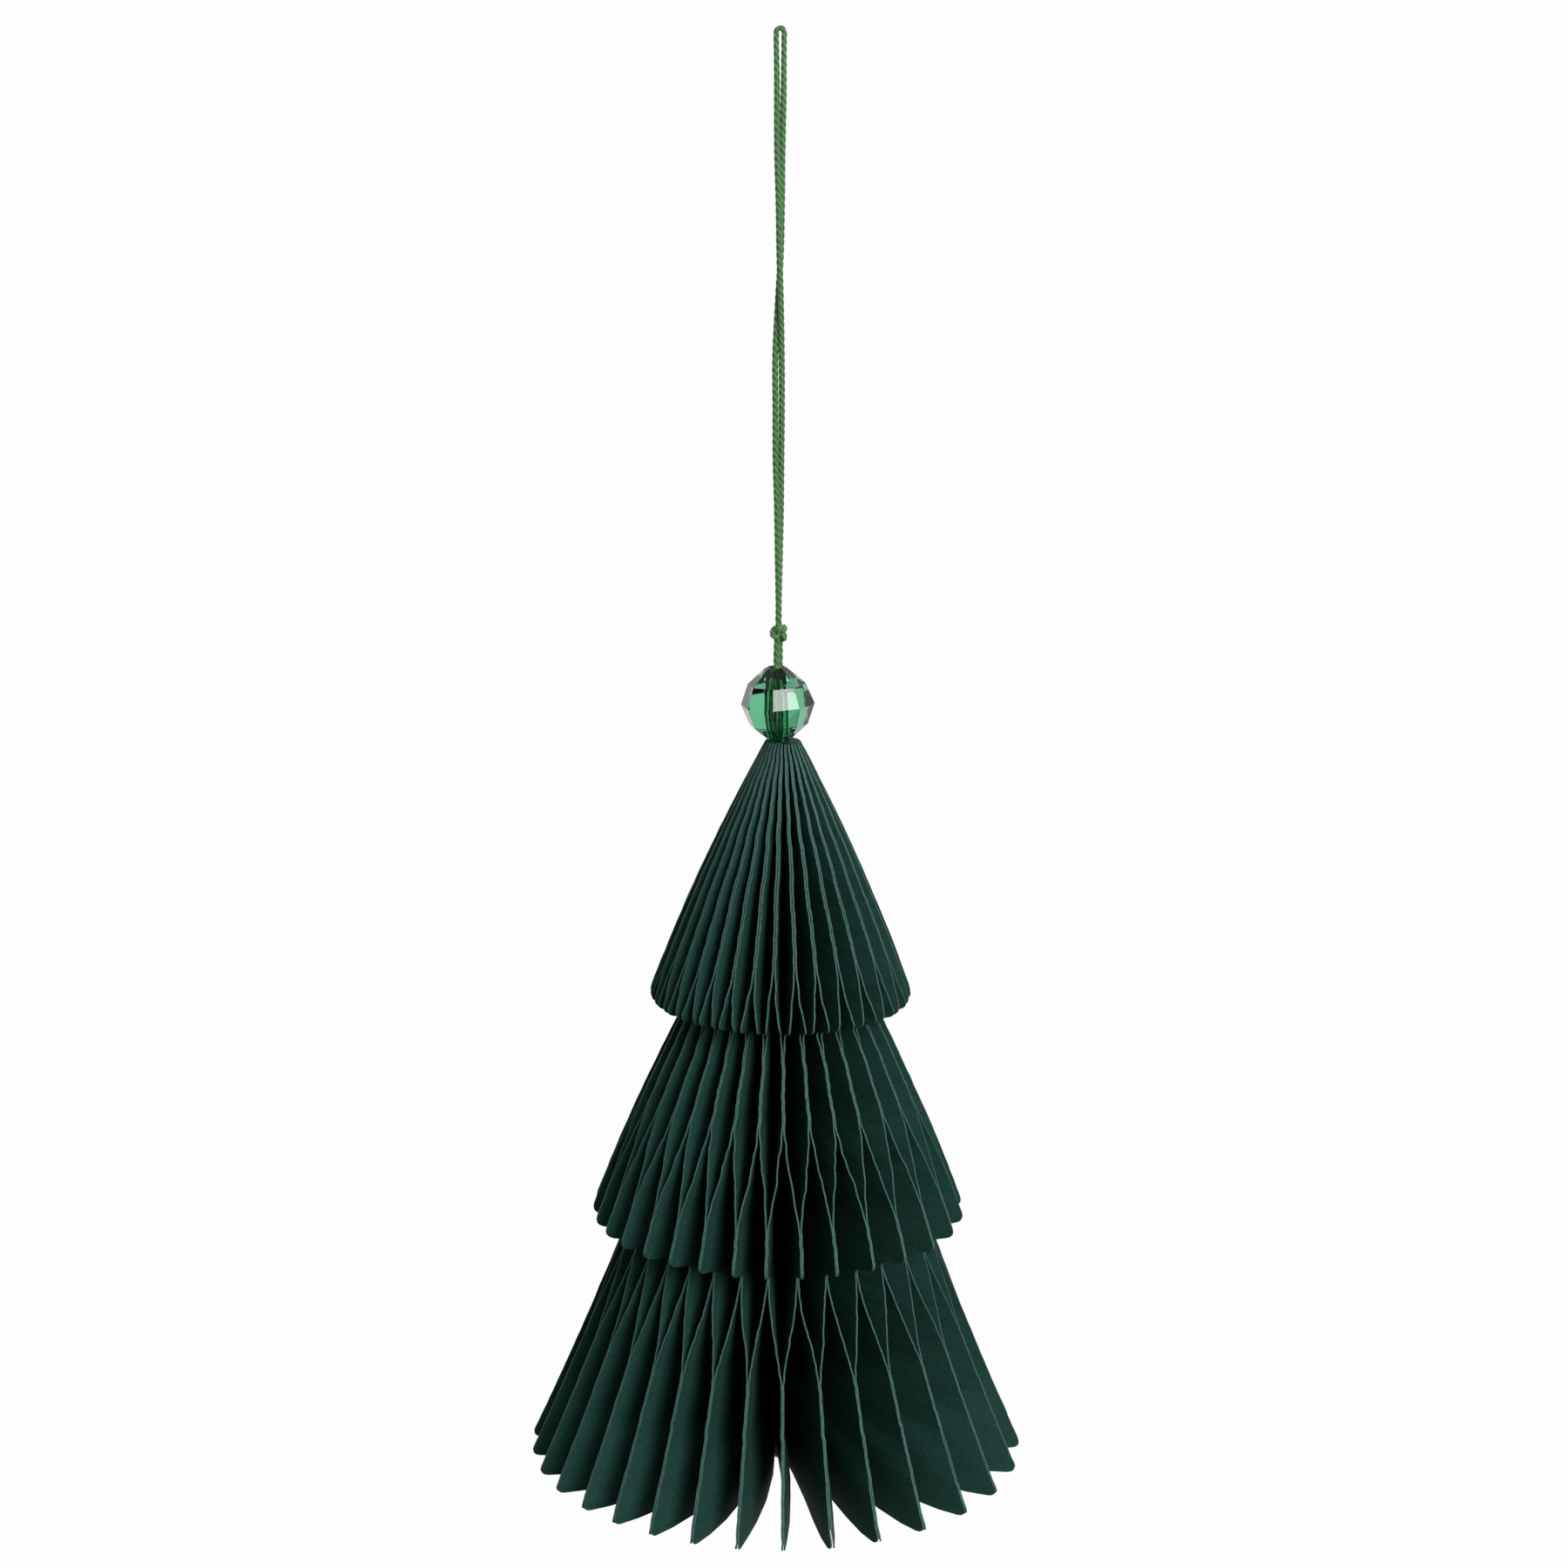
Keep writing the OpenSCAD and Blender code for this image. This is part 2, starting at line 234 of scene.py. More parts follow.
@dataclass(frozen=True)
class TintedAcrylic:
    """Moulded acrylic (PMMA), clear green: polished facets that refract and mirror the room."""

    name: str = "acrylic_moulded_green"
    tint: str = "6fc79a"
    ior: float = 1.49
    roughness: float = 0.02
    # Ripples of the mould, 1.5 mm apart and hardly there
    ripple_per_m: float = 650.0
    ripple_depth_m: float = 0.00001

    def build(self) -> bpy.types.Material:
        """Makes the material: full transmission with a tint, and a faint mould ripple."""
        values = {"Base Color": linear(self.tint), "Roughness": self.roughness, "IOR": self.ior}
        material, tree, shader = new_finish(self.name, {**values, "Transmission Weight": 1.0})
        place = add_node(tree, "TexCoord").outputs["Object"]
        ripple = add_node(tree, "TexNoise", {"Vector": place, "Scale": self.ripple_per_m, "Detail": 1.0})
        bump = add_node(
            tree, "Bump", {"Height": ripple.outputs["Fac"], "Strength": 0.35, "Distance": self.ripple_depth_m}
        )
        tree.links.new(bump.outputs["Normal"], shader.inputs["Normal"])
        return material


@dataclass(frozen=True)
class CottonCord:
    """Waxed cotton in twisted plies: satin fibres along each ply, with painted shade where plies meet."""

    name: str = "cotton_cord_twisted_waxed"
    # The groove colour is painted shade between the plies; the crown colour is the cord's own
    groove_shade: str = "08220c"
    crown: str = "43773a"
    plies: int = 3
    roughness: float = 0.62
    sheen: float = 0.2
    # Fibres round the cord and for each millimetre along it, how much they fleck the colour, and their depth
    fibres: tuple[float, float] = (26.0, 1.1)
    fleck: float = 1.1
    fibre_depth_m: float = 0.00008

    def build(self) -> bpy.types.Material:
        """Makes the material: painted shade in the grooves between plies, following them by UV, and fine
        fibres as bump.
        """
        values = {"Roughness": self.roughness, "Sheen Weight": self.sheen, "Sheen Roughness": 0.5}
        material, tree, shader = new_finish(self.name, values)
        along = add_node(tree, "UVMap", uv_map="along").outputs["UV"]
        split = add_node(tree, "SeparateXYZ", {"Vector": along})
        # u runs round the cord with the twist taken out, so each ply keeps its u, and v is in mm
        turns = 2 * math.pi * self.plies
        # Painted shade: the colour darkens from each ply's crown to the groove where plies meet
        turn = add_node(tree, "Math", {0: split.outputs["X"], 1: turns}, operation="MULTIPLY")
        crown = add_node(tree, "Math", {0: turn.outputs[0]}, operation="COSINE")
        groove_shade_mask = add_node(tree, "MapRange", {"Value": crown.outputs[0], "From Min": -1.0, "From Max": 1.0})
        flat = add_node(tree, "CombineXYZ", {"X": split.outputs["X"], "Y": split.outputs["Y"]})
        squeeze = add_node(tree, "Mapping", {"Vector": flat.outputs[0], "Scale": (*self.fibres, 1.0)})
        fibre = add_node(
            tree, "TexNoise", {"Vector": squeeze.outputs[0], "Scale": 1.0, "Detail": 3.0, "Roughness": 0.6}
        )
        flecked = {0: fibre.outputs["Fac"], 1: self.fleck, 2: groove_shade_mask.outputs[0]}
        mixed = add_node(tree, "Math", flecked, operation="MULTIPLY_ADD")
        colour = add_node(tree, "ValToRGB", {"Fac": mixed.outputs[0]})
        ends = colour.color_ramp.elements
        ends[0].position, ends[0].color = 0.4, linear(self.groove_shade)
        ends[1].position, ends[1].color = 1.0, linear(self.crown)
        bump = add_node(
            tree, "Bump", {"Height": fibre.outputs["Fac"], "Strength": 0.7, "Distance": self.fibre_depth_m}
        )
        tree.links.new(colour.outputs["Color"], shader.inputs["Base Color"])
        tree.links.new(bump.outputs["Normal"], shader.inputs["Normal"])
        return material


@dataclass(frozen=True)
class PaleSweep:
    """Seamless studio paper far under the object, lit until it is plain white."""

    name: str = "studio_sweep_paper_white"
    white: str = "fdfdfd"

    def build(self) -> bpy.types.Material:
        """Makes the material: plain white by its own glow, with no gloss."""
        dull = {"Base Color": linear("000000"), "Roughness": 1.0, "Specular IOR Level": 0.0}
        glow = {"Emission Color": linear(self.white), "Emission Strength": 1.0}
        return new_finish(self.name, {**dull, **glow})[0]


# Sizes that the pieces share, in millimetres, as in the part's source


@dataclass(frozen=True)
class Stack:
    """Heights and offsets of the hanging stack, from the loop's top down to the foot."""

    cord_x: float = 0.6
    cord_offset: float = 0.9
    knot_top_z: float = -92.5
    knot_h: float = 3.0
    neck_h: float = 4.0
    strand_d: float = 0.9
    strand_pitch: float = 0.96
    tail_turn_deg: float = 60.0
    bead_h: float = 12.0
    bead_play: float = 0.42
    # Share of that play that the bead's lean takes up
    bead_lean: float = 0.85
    bead_facets: int = 8
    bead_rim: float = 0.2
    tree_h: float = 122.0
    channel_play: float = 0.17

    @property
    def knot_foot_z(self) -> float:
        """Height of the knot's underside."""
        return self.knot_top_z - self.knot_h

    @property
    def pair_r(self) -> float:
        """Radius that the two strands fill side by side."""
        return (self.strand_pitch + self.strand_d) / 2

    @property
    def bore_r(self) -> float:
        """Radius of the bead's bore."""
        return self.pair_r + self.bead_play

    @property
    def flat_r(self) -> float:
        """Corner radius of the flat rim round the bore."""
        return self.bore_r / math.cos(math.pi / self.bead_facets) + self.bead_rim

    @property
    def bead_tilt(self) -> float:
        """Lean of the bead on the cord, in radians."""
        return math.atan(self.bead_lean * self.bead_play / (self.bead_h / 2))

    @property
    def half_stack(self) -> float:
        """Height of half the leaning bead."""
        return self.bead_h / 2 * math.cos(self.bead_tilt) + self.flat_r * math.sin(self.bead_tilt)

    @property
    def bead_z(self) -> float:
        """Height of the bead's middle."""
        return self.knot_foot_z - self.neck_h - self.half_stack

    @property
    def tip_z(self) -> float:
        """Height of the tree's tip."""
        return self.bead_z - self.half_stack

    @property
    def foot_z(self) -> float:
        """Height of the tree's foot."""
        return self.tip_z - self.tree_h

    @property
    def tree_x(self) -> float:
        """Where the tree's axis stands."""
        return self.cord_x + self.cord_offset


# The tree


@dataclass
class LeafPack:
    """The pack of die-cut card leaves, fanned round its spine and glued in alternate rows."""

    stack: Stack
    leaf_count: int = 64
    leaf_t: float = 0.25
    # Each tier's skirt radius and swell, the heights of the lower tiers and the radii of their necks
    skirt_r: tuple[float, ...] = (41.5, 31.1, 21.7)
    swell: tuple[float, ...] = (-0.4, 0.6, 0.9)
    low_tier_h: float = 41.8
    mid_tier_h: float = 37.5
    neck_r: tuple[float, ...] = (25.0, 15.7)
    tip_rim: float = 0.3
    corner_r: float = 1.5
    fillet_r: float = 1.1
    notch_drop: float = 1.6
    # The core: how loosely it is packed, the paper round the cord's channel, and how far off that starts
    core_slack: float = 1.02
    core_wall: float = 0.55
    channel_clear: float = 0.03
    glue_first_h: float = 19.0
    glue_pitch: float = 25.0
    glue_w: float = 10.0
    glue_rows: int = 4
    # How the leaves lean and bow between the rows, and how much the lean slackens at the ends
    end_slack: float = 0.004
    straight_share: float = 0.6
    pair_bow: float = 1.8
    bow_ease: float = 6.0
    step_ease: float = 12.0
    # Directions: the pair at the front, and how the leaves crowd once and twice round the spine
    front_pair_deg: float = 2.0
    crowd_deg: float = 9.6
    crowd_from_deg: float = 70.0
    twin_crowd_deg: float = 3.6
    twin_from_deg: float = 90.0
    pair_drift_deg: float = 0.28
    # Share of the pitch that a leaf fills where the pack is tight, at its rim and this deep in its core
    rim_share: float = 0.56
    core_share: float = 0.98
    rim_depth: float = 2.0
    # Gap in a glued pair, and the wider one in the top tier up to just under the tip
    glue_gap: float = 0.02
    top_gap: float = 0.12
    tip_clear: float = 8.0
    # How uneven the rim is, how far the edges wave together and wander alone, and how deep that goes
    rim_wear: float = 0.07
    edge_wave: float = 0.09
    edge_wander: float = 0.17
    wander_depth: float = 9.0
    # Under the lowest glue row the pairs close only near the rim, but at the front all the way in, and curl
    foot_bow: float = 8.0
    foot_curl: float = 1.0
    curl_ease: float = 10.0
    front_closed: float = 0.97
    front_closed_deg: float = 12.0
    # Share of the way out of each point across a leaf, and points along the outline of each tier
    across: tuple[float, ...] = (0.0, 0.3, 0.55, 0.76, 0.91, 1.0)
    edge_steps: tuple[int, ...] = (74, 68, 76)
    corner_steps: int = 4
    notch_steps: int = 4
    seed: int = 11

    def __post_init__(self) -> None:
        """Works out the core and the tiers, and seeds the random wear."""
        self.channel_r = self.stack.pair_r + self.stack.channel_play
        packed = self.core_slack * self.leaf_count * self.leaf_t / (2 * math.pi)
        core_r = max(packed, self.stack.cord_offset + self.channel_r + self.core_wall)
        # Height of the skirt and of the neck, the radii there and the swell of each tier
        feet = np.cumsum([0, self.low_tier_h, self.mid_tier_h])
        heads = [*(feet[1:] - self.notch_drop), self.stack.tree_h]
        necks = [*self.neck_r, core_r + self.tip_rim]
        self.tiers = np.column_stack([feet, heads, self.skirt_r, necks, self.swell])
        self.rng = np.random.default_rng(self.seed)

    def edge_r(self, z: np.ndarray, tier: np.ndarray) -> np.ndarray:
        """Radius of a tier's edge: straight from skirt to neck, plus the swell as a parabola.

        Args:
            z: Heights above the foot.
            tier: Number of each height's tier.

        Returns:
            The radii.
        """
        foot, head, low, high, swell = np.moveaxis(self.tiers[tier], -1, 0)
        rise = (z - foot) / (head - foot)
        return low + (high - low) * rise + 4 * swell * rise * (1 - rise)

    @staticmethod
    def towards(corner: np.ndarray, other: np.ndarray, distance: float) -> np.ndarray:
        """The point at a distance from a corner, on the way to another point."""
        return corner + (other - corner) / np.linalg.norm(other - corner) * distance

    def rounded(self, before: np.ndarray, corner: np.ndarray, after: np.ndarray, size: float) -> np.ndarray:
        """Rounds a corner of an outline by a parabola between points at equal distances from it.

        Args:
            before: A point on the side that leads to the corner.
            corner: The corner.
            after: A point on the side that leaves it.
            size: Distance from the corner at which the round begins and ends.

        Returns:
            Points of the round, one row each.
        """
        start, end = self.towards(corner, before, size), self.towards(corner, after, size)
        bend = np.linspace(0, 1, self.corner_steps + 1)[:, None]
        return (1 - bend) ** 2 * start + 2 * bend * (1 - bend) * corner + bend**2 * end

    def outline(self) -> tuple[np.ndarray, np.ndarray, np.ndarray]:
        """Outline of a leaf: each tier's rounded skirt corner and edge, then a filleted notch.

        A notch runs from the neck out and up to the next skirt. The inner end of each line across
        the leaf climbs evenly with the line's length along the outline, so no two lines cross.

        Returns:
            Radii and heights of the outline, and heights of the lines' inner ends.
        """
        skirts, necks = self.tiers[:, [2, 0]], self.tiers[:, [3, 1]]
        parts, last = [], len(self.tiers) - 1
        for n, (skirt, neck) in enumerate(zip(skirts, necks)):
            inward = necks[n - 1] if n else np.zeros(2)
            above = skirt[1] + 3 * self.corner_r
            along = np.array([self.edge_r(np.array([above]), np.array([n]))[0], above])
            corner = self.rounded(inward, skirt, along, self.corner_r)
            top = neck[1] if n == last else neck[1] - self.fillet_r
            straight = np.linspace(corner[-1, 1], top, self.edge_steps[n] + 1)[1:]
            edge = np.column_stack([self.edge_r(straight, np.full(len(straight), n)), straight])
            parts += [corner, edge]
            if n < last:
                fillet = self.rounded(edge[-1], neck, skirts[n + 1], self.fillet_r)
                share = np.linspace(0, 1, self.notch_steps + 1)[1:-1, None]
                next_corner = self.towards(skirts[n + 1], neck, self.corner_r)
                parts += [fillet[1:], fillet[-1] + (next_corner - fillet[-1]) * share]
        r, z = np.concatenate(parts).T
        # Each tier's share of the climb is its own height, and its notch counts with the tier above
        run = np.concatenate([[0], np.cumsum(np.hypot(np.diff(r), np.diff(z)))])
        marks = [0, *(int(np.argmin(np.hypot(r - neck[0], z - neck[1]))) for neck in necks[:-1]), len(z) - 1]
        inner = np.interp(run, run[marks], z[marks])
        return r, z, inner

    def lean(self, z: np.ndarray) -> np.ndarray:
        """Lean of the leaves: 1 and -1 close the even and the odd gaps.

        In a glue row it is 1 or -1. Between rows it swings over, a straight line blended with
        half a cosine. Towards the foot and the tip it slackens evenly.

        Args:
            z: Heights above the foot.

        Returns:
            The lean at each height.
        """
        row = np.clip(np.floor((z - self.glue_first_h) / self.glue_pitch), 0, self.glue_rows - 2)
        sign = 1 - 2 * (row % 2)
        start = self.glue_first_h + row * self.glue_pitch + self.glue_w / 2
        swing = np.clip((z - start) / (self.glue_pitch - self.glue_w), 0, 1)
        straight = self.straight_share
        between = sign * (straight * (1 - 2 * swing) + (1 - straight) * np.cos(np.pi * swing))
        low_end = self.glue_first_h - self.glue_w / 2
        top_end = self.glue_first_h + (self.glue_rows - 1) * self.glue_pitch + self.glue_w / 2
        below = self.end_slack * np.clip(1 - z / low_end, 0, 1)
        above = self.end_slack * np.clip((z - top_end) / (self.stack.tree_h - top_end), 0, 1)
        return between * (1 - below - above)

    def bow(self, z: np.ndarray) -> np.ndarray:
        """Exponent by which a pair closes towards its rim: 0 in a glue row, the full bow away from it.

        Args:
            z: Heights above the foot.

        Returns:
            The exponent at each height.
        """
        row = np.clip(np.round((z - self.glue_first_h) / self.glue_pitch), 0, self.glue_rows - 1)
        away = np.abs(z - self.glue_first_h - row * self.glue_pitch) - self.glue_w / 2
        ease = np.clip(away / self.bow_ease, 0, 1)
        full = np.where(z < self.glue_first_h, self.foot_bow, self.pair_bow)
        return full * ease * ease * (3 - 2 * ease)

    def curl(self, z: np.ndarray, share: np.ndarray, middle: np.ndarray) -> np.ndarray:
        """Sideways curl of the leaves under the lowest glue row, in millimetres.

        It is half a sine wave from the spine to the rim, fades into the glue row, and is full at
        the front and nothing at the back.

        Args:
            z: Heights above the foot.
            share: Shares of the way out along the leaf.
            middle: Directions of the leaves, in radians.

        Returns:
            The curl at each point.
        """
        ease = np.clip((self.glue_first_h - self.glue_w / 2 - z) / self.curl_ease, 0, 1)
        facing = (1 - np.sin(middle)) / 2
        return self.foot_curl * facing * ease * np.sin(np.pi * share)

    def reach(self, z: np.ndarray) -> np.ndarray:
        """Radius at which the leaves of a height meet: the edge, eased out above each step.

        Args:
            z: Heights above the foot.

        Returns:
            The radius at each height.
        """
        tier = np.searchsorted(self.tiers[:-1, 1], z, side="left")
        edge = self.edge_r(z, tier)
        neck = np.where(tier > 0, self.tiers[tier - 1, 3], edge)
        ease = np.clip((z - self.tiers[tier - 1, 1]) / self.step_ease, 0, 1)
        return np.where(tier > 0, neck + (edge - neck) * ease, edge)

    def gap_directions(self) -> np.ndarray:
        """Directions of the gaps round the spine in degrees, with the last gap also put first.

        They are spaced evenly, moved by a sine of one turn and a sine of half a turn, and each
        drifts a little at random.

        Returns:
            One direction more than there are leaves.
        """
        turn = np.arange(self.leaf_count) * 360 / self.leaf_count

        def crowded(a: np.ndarray) -> np.ndarray:
            """Even directions with both crowdings added."""
            once = self.crowd_deg * np.sin(np.radians(a - self.crowd_from_deg))
            twice = self.twin_crowd_deg * np.sin(np.radians(2 * (a - self.twin_from_deg)))
            return a + once + twice

        gaps = crowded(turn) + self.front_pair_deg - crowded(np.zeros(1)) - 90
        gaps += self.pair_drift_deg * self.rng.uniform(-1, 1, self.leaf_count)
        return np.concatenate([[gaps[-1] - 360], gaps])

    def sideways(self, closed: np.ndarray, depth: np.ndarray) -> np.ndarray:
        """How far the edges stray sideways, in millimetres.

        They wave in step where the pack was cut, and wander one by one where nothing holds them.

        Args:
            closed: How closed each point's gap is, from 0 to 1, by leaf, level and place across.
            depth: Distance of each point from the rim.

        Returns:
            The stray at each point.
        """
        count, levels = closed.shape[:2]
        near_edge = np.exp(-depth / self.wander_depth)
        wave = smooth_noise(self.rng, levels, 2)[0] + 0.5 * smooth_noise(self.rng, levels, 6)[0]
        alone = smooth_noise(self.rng, levels, 2, count) * 0.4 + smooth_noise(self.rng, levels, 14, count)
        together = self.edge_wave * wave[None, :, None] * near_edge**3
        return together + self.edge_wander * alone[:, :, None] * near_edge * (1 - closed**3)

    def leaf_shells(self) -> np.ndarray:
        """Points of every leaf, a ring of points at each level: one wall outwards, the other inwards.

        A point's radius and height lie on the line across the leaf. Its direction is the leaf's
        own, plus lean times closing times the free half of the pitch, plus the stray and the curl
        over the radius, plus or minus half the leaf's thickness. Closing is the share of the reach,
        to the power of the bow.

        Returns:
            An array of leaves by levels by ring by xyz, in millimetres.
        """
        rim_r, rim_z, inner_z = self.outline()
        levels, count = len(rim_r), self.leaf_count
        gaps = np.radians(self.gap_directions())
        middle = ((gaps[1:] + gaps[:-1]) / 2)[:, None, None]
        pitch = np.diff(gaps)[:, None, None]
        sign = (1 - 2 * (np.arange(count) % 2))[:, None, None]
        # The leaf starts where its direction leaves the channel, whose middle is beside the axis
        offset = self.stack.cord_offset
        leaving = -offset * np.cos(middle) + np.sqrt(self.channel_r**2 - (offset * np.sin(middle)) ** 2)
        start = leaving + self.channel_clear
        share = np.array(self.across)[None, None, :]
        wear = smooth_noise(self.rng, levels, 3, count) + 0.6 * smooth_noise(self.rng, levels, 9, count)
        edge = ((rim_r - self.rim_wear)[None, :] + 0.6 * self.rim_wear * wear)[:, :, None]
        r = start + (edge - start) * share
        z = np.broadcast_to(inner_z[None, :, None] + (rim_z - inner_z)[None, :, None] * share, r.shape)
        inside = np.clip((edge - r) / self.rim_depth, 0, 1)
        filled = self.rim_share + (self.core_share - self.rim_share) * inside
        half = np.minimum(np.arcsin(np.clip(self.leaf_t / 2 / r, 0, 1)), filled / 2 * pitch)
        lean = self.lean(z)
        # The pairs that face the front stay nearly closed at the foot, all the way in to the spine
        from_front = np.degrees(np.abs(np.angle(np.exp(1j * (middle + np.pi / 2)))))
        at_front = np.exp(-((from_front / self.front_closed_deg) ** 2))
        bowed = 1 - self.front_closed * at_front * (z < self.glue_first_h)
        closing = np.clip(r / self.reach(z), 0, 1) ** (self.bow(z) * bowed)
        above_skirt = np.clip((z - self.tiers[2, 0]) / self.step_ease, 0, 1)
        under_tip = np.clip((self.stack.tree_h - self.tip_clear - z) / self.step_ease, 0, 1)
        gap = self.glue_gap + (self.top_gap - self.glue_gap) * above_skirt * under_tip
        free = np.maximum(pitch / 2 - half - gap / 2 / r, 0)
        side = self.sideways(np.abs(lean * closing), edge - r) + self.curl(z, share, middle)
        direction = middle + sign * lean * closing * free + side / r
        rings = []
        for wall, order in ((1, slice(None)), (-1, slice(None, None, -1))):
            a = direction + wall * half
            rings.append(np.stack([r * np.cos(a), r * np.sin(a), z], axis=-1)[:, :, order])
        shells = np.concatenate(rings, axis=2)
        return shells + np.array([self.stack.tree_x, 0, self.stack.foot_z])

    def build(self) -> list[bpy.types.Object]:
        """Makes the front and the back half of the leaves, each leaf a closed shell.

        Returns:
            The two pieces.
        """
        shells = self.leaf_shells()
        count, levels, around = shells.shape[:3]
        half_ring = around // 2
        level, place = np.meshgrid(np.arange(levels - 1), np.arange(around), indexing="ij")
        after = (place + 1) % around
        low, high = level * around, (level + 1) * around
        walls = np.stack([low + place, high + place, high + after, low + after], axis=-1).reshape(-1, 4)
        k = np.arange(half_ring - 1)
        foot = np.stack([k, k + 1, around - 2 - k, around - 1 - k], axis=-1)
        head = foot[:, ::-1] + (levels - 1) * around
        faces = np.concatenate([walls, foot, head])
        # The rim strips and the end caps get the paler cut-edge finish, a painted highlight
        is_cut_highlight = np.concatenate([(place == half_ring - 1).ravel(), np.ones(2 * len(foot), bool)])
        finishes = [DyedCard().build(), CutEdgePaintedHighlight().build()]
        order = np.roll(np.arange(count), count // 4)
        pieces = []
        for name, leaves in (("leaves_front", order[: count // 2]), ("leaves_back", order[count // 2 :])):
            starts = np.arange(len(leaves))[:, None, None] * levels * around
            all_faces = (starts + faces[None]).reshape(-1, 4)
            piece = mesh_piece(
                name,
                shells[leaves].reshape(-1, 3),
                all_faces.tolist(),
                finishes,
                np.tile(is_cut_highlight.astype(int), len(leaves)),
            )
            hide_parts("paper_leaves")
            pieces.append(piece)
        return pieces


# The bead


@dataclass
class FacetedBead:
    """The clear faceted bead, which leans on the cord in its loose bore."""

    stack: Stack
    width: float = 12.0
    shoulder_r: float = 4.7
    shoulder_h: float = 3.4
    turn_deg: float = 14.6
    bore_sides: int = 40
    edge_round: float = 0.09
    round_over_deg: float = 20.0

    def build(self) -> bpy.types.Object:
        """Makes the bead: rings of corners at rim, shoulder and belt, and a round bore.

        Each ring is a radius times the cosine and sine of evenly spaced directions. The rings are
        joined by flat facets, and the rims by one flat face for each side.

        Returns:
            The bead.
        """
        s, sides, fine = self.stack, self.stack.bead_facets, self.bore_sides
        profile = [
            (s.flat_r, -s.bead_h / 2),
            (self.shoulder_r, -self.shoulder_h),
            (self.width / 2, 0.0),
            (self.shoulder_r, self.shoulder_h),
            (s.flat_r, s.bead_h / 2),
        ]
        first = math.radians(self.turn_deg - 90 + 180 / sides)
        corner = first + np.arange(sides) * 2 * math.pi / sides
        bore = first + np.arange(fine) * 2 * math.pi / fine
        rings = [(corner, r, h) for r, h in profile]
        rings += [(bore, s.bore_r, h) for h in (-s.bead_h / 2, s.bead_h / 2)]
        points = np.concatenate(
            [np.stack([r * np.cos(a), r * np.sin(a), np.full(len(a), h)], axis=-1) for a, r, h in rings]
        )
        faces = []
        for band in range(len(profile) - 1):
            a = band * sides + np.arange(sides)
            b = band * sides + (np.arange(sides) + 1) % sides
            faces += np.stack([a, b, b + sides, a + sides], axis=-1).tolist()
        low, high = len(profile) * sides, len(profile) * sides + fine
        c = np.arange(fine)
        d = (c + 1) % fine
        faces += np.stack([low + d, low + c, high + c, high + d], axis=-1).tolist()
        per_side = fine // sides
        for side in range(sides):
            hole = [(side * per_side + n) % fine for n in range(per_side + 1)]
            after = (side + 1) % sides
            faces.append([after, side] + [low + n for n in hole])
            top = (len(profile) - 1) * sides
            faces.append([top + side, top + after] + [high + n for n in hole[::-1]])
        tilt = Matrix.Rotation(-s.bead_tilt, 3, "Y")
        points = points @ np.array(tilt).T + np.array([s.cord_x, 0, s.bead_z])
        finish = [TintedAcrylic().build()]
        piece = mesh_piece("bead_faceted", points, faces, finish, sharp_deg=None)
        bevel = piece.modifiers.new("moulded_edges", "BEVEL")
        bevel.width = self.edge_round * MM
        bevel.segments = 2
        bevel.limit_method = "ANGLE"
        bevel.angle_limit = math.radians(self.round_over_deg)
        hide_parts("bead")
        return piece


# The cord


